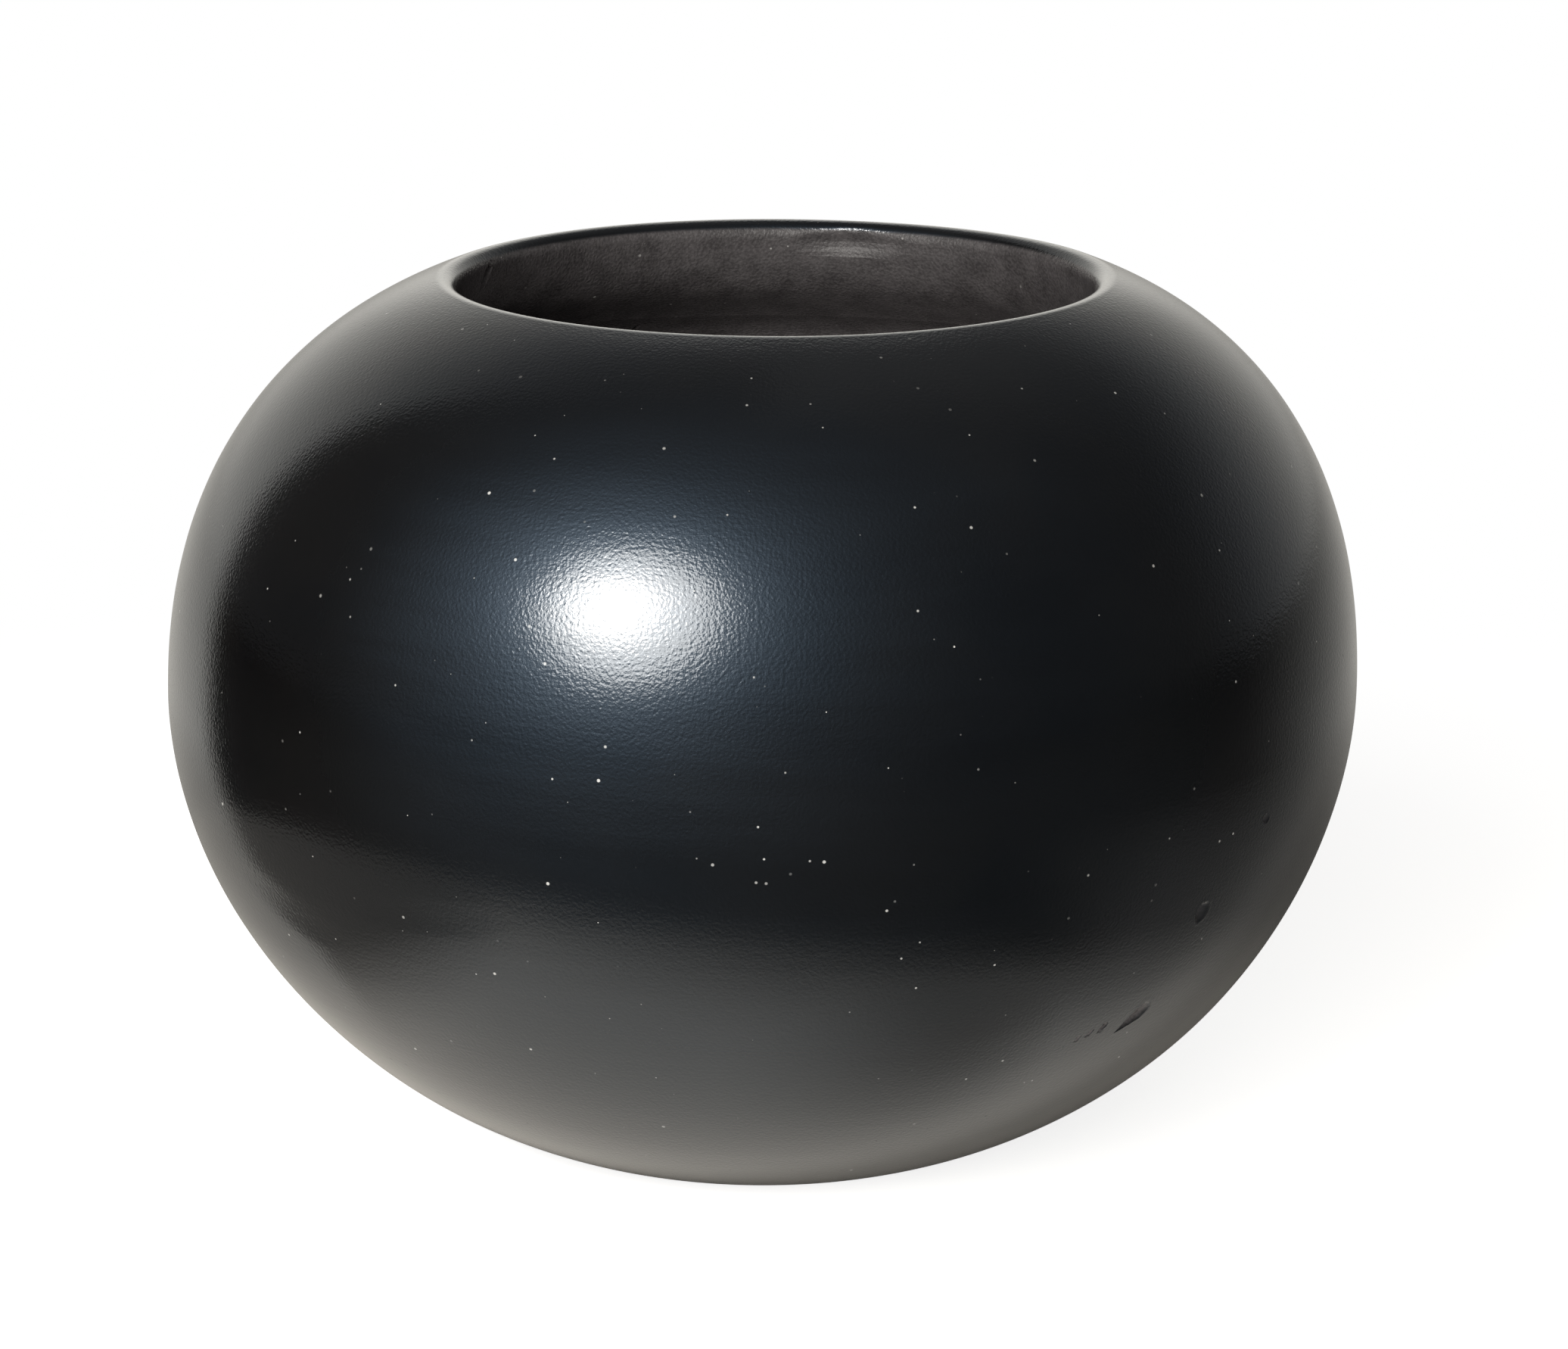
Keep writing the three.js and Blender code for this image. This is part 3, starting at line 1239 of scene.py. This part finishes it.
@dataclass
class RimCoil(ClayPiece):
    """The last coil, which carries the rounded lip. The burnish fades as the lip turns inwards."""

    lower: float = 0.0
    burnish_fade: tuple[float, float] = (141 * DEGREE, 155 * DEGREE)

    def lip(self) -> list[SectionPoint]:
        """Lists the points round the lip.

        Returns:
            The points, from the outside's end to the inside's beginning.
        """
        form, start = self.rule.form, self.rule.lip.angle
        points = []
        for turn in np.linspace(start, start + form.lip_turn, self.grading.lip_steps + 1)[1:]:
            place = form.lip_centre + form.lip_radius * np.array([math.cos(turn), math.sin(turn)])
            points.append(SectionPoint(*place, polish=1 - eased(turn, *self.burnish_fade)))
        return points

    def section(self) -> list[SectionPoint]:
        """Lists the points of the section.

        Returns:
            The points up the outside, over the lip, and down the inside to the joint.
        """
        rule = self.rule
        outside, below = self.outside(self.lower, rule.length), reversed(self.joint(self.lower))
        start, end = self.lower - rule.form.joint_lap, rule.length + rule.rim_past
        places = self.grading.stretch(start, end, self.grading.rim_step)[:-1]
        inside = [SectionPoint(*rule.inner(place), polish=0.0) for place in reversed(places)]
        return [*outside, *self.lip(), *inside, *below, outside[0]]


class Jar:
    """The whole jar: a base pat, a wall of coils and a rim coil."""

    # Azimuth, height, length, width, turn and depth, in degrees and millimetres
    MARKS = (
        Mark.of(46.4, 35.0, 0.95, 1.25, -16, 0.7, lean=0.95, bared=0.3),
        Mark.of(53.7, 43.3, 0.62, 0.55, 10, 0.45, lean=0.8, bared=0.35),
        Mark.of(42.4, 23.5, 2.4, 0.85, 46, 0.5, lean=0.2, spread=0.8, bared=0.9),
        Mark.of(38.2, 23.3, 0.85, 0.3, 60, 0.22, spread=0.4),
        Mark.of(36.6, 23.0, 0.7, 0.24, 56, 0.18, spread=0.4),
        Mark.of(35.2, 22.6, 0.6, 0.15, 50, 0.1, spread=0.4),
        Dent.of(-33.0, 37.6, 13, 2.6, 4, 0.07),
        Dent.of(-52.0, 34.0, 10, 3.2, -12, 0.07),
        Mark.of(-160.2, 81.5, 3.4, 0.4, 84, 0.5, inside=True),
        Mark.of(-158.6, 82.0, 2.2, 0.3, 97, 0.3, inside=True),
        Mark.of(-113.0, 93.5, 1.7, 0.9, 70, 0.35, ragged=0.5, inside=True),
        Dent.of(165.0, 93.6, 8, 1.8, 0, 0.6, bared=1.0, inside=True),
    )

    def __init__(self, form: JarForm) -> None:
        """Plans the pieces round the solids in the frame.

        Args:
            form: the jar's sizes.
        """
        self.form = form
        self.rule = WallRule(form)
        count = sum(name.startswith("wall_coil_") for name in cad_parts)
        base_edge = self.rule.distance_at(form.base_rise)
        rim_edge = self.rule.length - form.rim_coil_width
        edges = [float(edge) for edge in np.linspace(base_edge, rim_edge, count + 1)]
        self.pieces: list[ClayPiece] = [BasePat("base_pat", self.rule, edge=base_edge)]
        for coil, (lower, upper) in enumerate(zip(edges, edges[1:]), start=1):
            self.pieces.append(WallCoil(f"wall_coil_{coil}", self.rule, lower=lower, upper=upper))
        self.pieces.append(RimCoil("rim_coil", self.rule, lower=rim_edge))

    def build(self) -> list[Object]:
        """Makes every piece and reports it.

        Returns:
            The pieces, from the base up.
        """
        kit = ShaderKit()
        finishes = Finishes(clay=SmokedClay(kit).make(), joint=JointClay(kit).make())
        turner, cutter = TurnedClay(self.form), MarkCutter(self.rule, self.MARKS)
        made = []
        for plan in self.pieces:
            piece = plan.build(turner, cutter, finishes)
            plan.report(piece)
            made.append(piece)
        return made


@dataclass(frozen=True)
class SoftLamp:
    """A round soft lamp, turned towards the jar.

    Its azimuth, to the right of the viewer, and its elevation are in degrees, its power in watts.
    """

    name: str
    azimuth: float
    elevation: float
    distance: float
    radius: float
    power: float
    mirrored: bool = True
    colour: Colour = (1.0, 0.975, 0.93)
    aim_height: float = 60 * MM

    def hang(self) -> None:
        """Hangs the lamp in the scene."""
        around, up = self.azimuth * DEGREE, self.elevation * DEGREE
        level = Vector((math.sin(around), -math.cos(around), 0.0))
        away = level * math.cos(up) + Vector((0.0, 0.0, math.sin(up)))
        data = bpy.data.lights.new(self.name, "AREA")
        data.shape, data.size = "DISK", 2 * self.radius
        data.energy, data.color = self.power, self.colour
        lamp = bpy.data.objects.new(self.name, data)
        lamp.visible_glossy = self.mirrored
        turned = away.to_track_quat("Z", "Y").to_matrix().to_4x4()
        middle = Vector((0.0, 0.0, self.aim_height)) + away * self.distance
        lamp.matrix_world = Matrix.Translation(middle) @ turned
        bpy.context.scene.collection.objects.link(lamp)


@dataclass(frozen=True)
class PaleFloor:
    """A level pale floor. It reads as white away from the jar, and keeps the jar's shadow near it.

    The polish mirrors a warm card, which reaches further to the left of the foot than to its right.
    Its near right corner is cut off as painted shade, where the jar shades the floor that the polish
    mirrors. Beyond the card the mirrored floor is dark in front and pale behind, by the bearing from
    the card's edge.
    """

    half: float = 6.0
    card: Colour = (0.88, 0.865, 0.84)
    warm_card: Colour = (0.72, 0.69, 0.645)
    back: Colour = (0.42, 0.41, 0.39)
    front: Colour = (0.025, 0.025, 0.025)
    side: Colour = (0.15, 0.148, 0.145)
    middle: float = -31 * MM
    flatness: float = 0.92
    edge: Step = Step(66 * MM, 112 * MM)
    painted_shade_across: Step = Step(-10 * MM, 35 * MM)
    painted_shade_ahead: Step = Step(-30 * MM, -55 * MM, 0.0, 0.62)
    left_edge: Step = Step(-45 * MM, -80 * MM, 0.0, 0.8)
    sides: tuple[float, float] = (-52 * MM, 42 * MM)
    front_edge: float = -35 * MM
    slant: float = 0.7
    front_left: Step = Step(-134 * DEGREE, -128 * DEGREE)
    front_right: Step = Step(95 * DEGREE, 185 * DEGREE, 1.0, 0.0)
    turning: Step = Step(20 * DEGREE, 85 * DEGREE)
    side_fade: Step = Step(110 * MM, 240 * MM, 1.0, 0.4)
    lift: float = 0.8
    far: Step = Step(0.1, 0.25)
    far_share: float = 0.38

    def make(self) -> Material:
        """Builds the floor's material.

        Returns:
            The material.
        """
        material = bpy.data.materials.new("pale_floor")
        material.use_nodes = True
        material.node_tree.nodes.clear()
        material.cycles.emission_sampling = "NONE"
        bench = NodeBench(material.node_tree)
        x, y, _ = bench.split(bench.add("ShaderNodeTexCoord", output="Object"))
        ray = bench.wires("ShaderNodeLightPath")
        seen, glossy = ray["Is Camera Ray"], ray["Is Glossy Ray"]

        across = (x - self.middle) * self.flatness
        reach = bench.maths("SQRT", across**2.0 + y**2.0)
        # Painted shade: the mirrored card gives way to the darker floor at its near right corner, where
        # the jar shades it.
        corner = bench.ramp(x, *self.painted_shade_across) * bench.ramp(y, *self.painted_shade_ahead)
        edge = bench.maths("MAXIMUM", bench.ramp(reach, *self.edge), corner)
        edge = bench.maths("MAXIMUM", edge, bench.ramp(x, *self.left_edge))

        left, right = self.sides
        under = bench.maths("MINIMUM", bench.maths("MAXIMUM", x * self.slant, left), right)
        ahead = bench.maths("SUBTRACT", self.front_edge, y)
        around = bench.maths("ARCTAN2", x - under, ahead)
        ends = (bench.ramp(around, *end) for end in (self.front_left, self.front_right))
        in_front = bench.maths("MINIMUM", *ends)
        side = bench.scaled(self.side, bench.ramp(reach, *self.side_fade))
        beyond = bench.mix(bench.ramp(around, *self.turning), self.front, side)
        beyond = bench.mix(in_front, self.back, beyond)
        mirrored = bench.mix(edge, self.warm_card, beyond)

        tone = bench.mix(glossy, self.card, mirrored)
        card = bench.add("ShaderNodeBsdfDiffuse", {"Color": tone})
        lifted = bench.add("ShaderNodeEmission", {"Strength": seen * self.lift})
        near = bench.add("ShaderNodeAddShader", {0: card, 1: lifted})
        tint = bench.mix(seen, WARM_WHITE, WHITE)
        white = bench.add("ShaderNodeEmission", {"Color": tint, "Strength": 1.0})
        behind = bench.maths("SUBTRACT", 1.0, in_front) * self.far_share
        shown = bench.maths("MAXIMUM", seen, behind * glossy)
        away = bench.maths("SQRT", x**2.0 + y**2.0)
        far = bench.ramp(away, *self.far) * shown
        whole = bench.add("ShaderNodeMixShader", {0: far, 1: near, 2: white})
        bench.node("ShaderNodeOutputMaterial", {0: whole})
        return material

    def lay(self) -> None:
        """Lays the floor under the jar."""
        low, high = -self.half, self.half
        mesh = bpy.data.meshes.new("floor")
        corners = [(low, low, 0), (high, low, 0), (high, high, 0), (low, high, 0)]
        mesh.from_pydata(corners, [], [(0, 1, 2, 3)])
        floor = bpy.data.objects.new("floor", mesh)
        bpy.context.scene.collection.objects.link(floor)
        mesh.materials.append(self.make())


@dataclass(frozen=True)
class Backdrop:
    """White behind the jar and dim in front of it, as the room that the polish mirrors is.

    The camera sees plain white. Other rays see a tone by bearing, from -180 to 180 degrees with
    the viewer at 0, and by rise, the upward part of the ray's direction.
    """

    left_edge: Step = Step(-134 * DEGREE, -128 * DEGREE, 1.0, 0.0)
    left_tone: Step = Step(-138 * DEGREE, -175 * DEGREE, 0.45, 0.56)
    left_rise: Step = Step(0.1, 1.0, 1.0, 0.0)
    right_tone: Step = Step(85 * DEGREE, 180 * DEGREE, 0.0, 0.5)
    right_rise: Step = Step(0.12, 0.72, 1.0, 0.1)
    strip_tone: Step = Step(160 * DEGREE, 177 * DEGREE, 0.0, 0.4)
    strip_low: Step = Step(0.0, 0.15)
    strip_high: Step = Step(0.68, 0.82, 1.0, 0.0)
    room: Step = Step(0.5, 1.0, 0.03, 0.06)
    warmth: Step = Step(0.0, 0.3)

    def hang(self) -> None:
        """Sets up the scene's world."""
        world = bpy.data.worlds.new("studio")
        world.use_nodes = True
        bpy.context.scene.world = world
        world.node_tree.nodes.clear()
        bench = NodeBench(world.node_tree)
        x, y, z = bench.split(bench.add("ShaderNodeTexCoord", output="Generated"))
        seen = bench.add("ShaderNodeLightPath", output="Is Camera Ray")
        around = bench.maths("ARCTAN2", x, y * -1.0)
        left = bench.ramp(around, *self.left_edge) * bench.ramp(around, *self.left_tone)
        left = left * bench.ramp(z, *self.left_rise)
        right = bench.ramp(around, *self.right_tone) * bench.ramp(z, *self.right_rise)
        strip = bench.ramp(bench.maths("ABSOLUTE", around), *self.strip_tone)
        strip = strip * (bench.ramp(z, *self.strip_low) * bench.ramp(z, *self.strip_high))
        wall = bench.maths("MAXIMUM", left, right) + strip
        level = bench.maths("MAXIMUM", bench.ramp(z, *self.room) + wall, seen)
        warm = bench.maths("SUBTRACT", bench.ramp(wall, *self.warmth), seen, clamp=True)
        tint = bench.mix(warm, WHITE, WARM_WHITE)
        light = bench.add("ShaderNodeBackground", {"Color": tint, "Strength": level})
        bench.node("ShaderNodeOutputWorld", {0: light})


@dataclass(frozen=True)
class Studio:
    """Plain pale floor, soft light and the camera at the photograph's viewing angle."""

    image: tuple[int, int] = (2072, 1782)
    focal_pixels: float = 7020.6
    aim_pixel: tuple[float, float] = (1009.15, 927.98)
    aim_height: float = 45.72 * MM
    distance: float = 571.5 * MM
    elevation: float = 14.63
    sensor: float = 36.0
    clip: tuple[float, float] = (10 * MM, 50.0)
    lamps: tuple[SoftLamp, ...] = (
        SoftLamp("key_lamp", -30.2, 29.3, distance=600 * MM, radius=72 * MM, power=1.58),
        SoftLamp("key_rim", -28.0, 28.9, distance=610 * MM, radius=170 * MM, power=2.0),
        SoftLamp("fill_lamp", -8, 17, distance=1.2, radius=0.3, power=8, mirrored=False),
    )

    def camera(self) -> None:
        """Places the camera so that the aim point falls on its pixel, with no shift."""
        tilt = self.elevation * DEGREE
        forward = Vector((0.0, math.cos(tilt), -math.sin(tilt)))
        upward = Vector((0.0, math.sin(tilt), math.cos(tilt)))
        right = Vector((1.0, 0.0, 0.0))
        across = (self.image[0] / 2 - self.aim_pixel[0]) / self.focal_pixels
        rise = (self.aim_pixel[1] - self.image[1] / 2) / self.focal_pixels
        place = Vector((0.0, 0.0, self.aim_height)) - forward * self.distance
        look = (forward + right * across + upward * rise).normalized()
        data = bpy.data.cameras.new("camera")
        data.sensor_width = self.sensor
        data.lens = self.sensor * self.focal_pixels / self.image[0]
        data.clip_start, data.clip_end = self.clip
        camera = bpy.data.objects.new("camera", data)
        side = look.cross(upward).normalized()
        turned = Matrix((side, side.cross(look), -look)).transposed().to_4x4()
        camera.matrix_world = Matrix.Translation(place) @ turned
        bpy.context.scene.collection.objects.link(camera)
        bpy.context.scene.camera = camera

    def build(self) -> None:
        """Sets up the whole studio."""
        bpy.context.scene.view_settings.view_transform = "Standard"
        self.camera()
        for lamp in self.lamps:
            lamp.hang()
        PaleFloor().lay()
        Backdrop().hang()


def main() -> None:
    """Builds the studio and the jar."""
    logging.basicConfig(level=logging.INFO, format="%(name)s: %(message)s")
    Studio().build()
    jar = Jar(JarForm())
    pieces = jar.build()
    LOG.info("%d pieces", len(pieces))


if __name__ == "__main__":
    main()
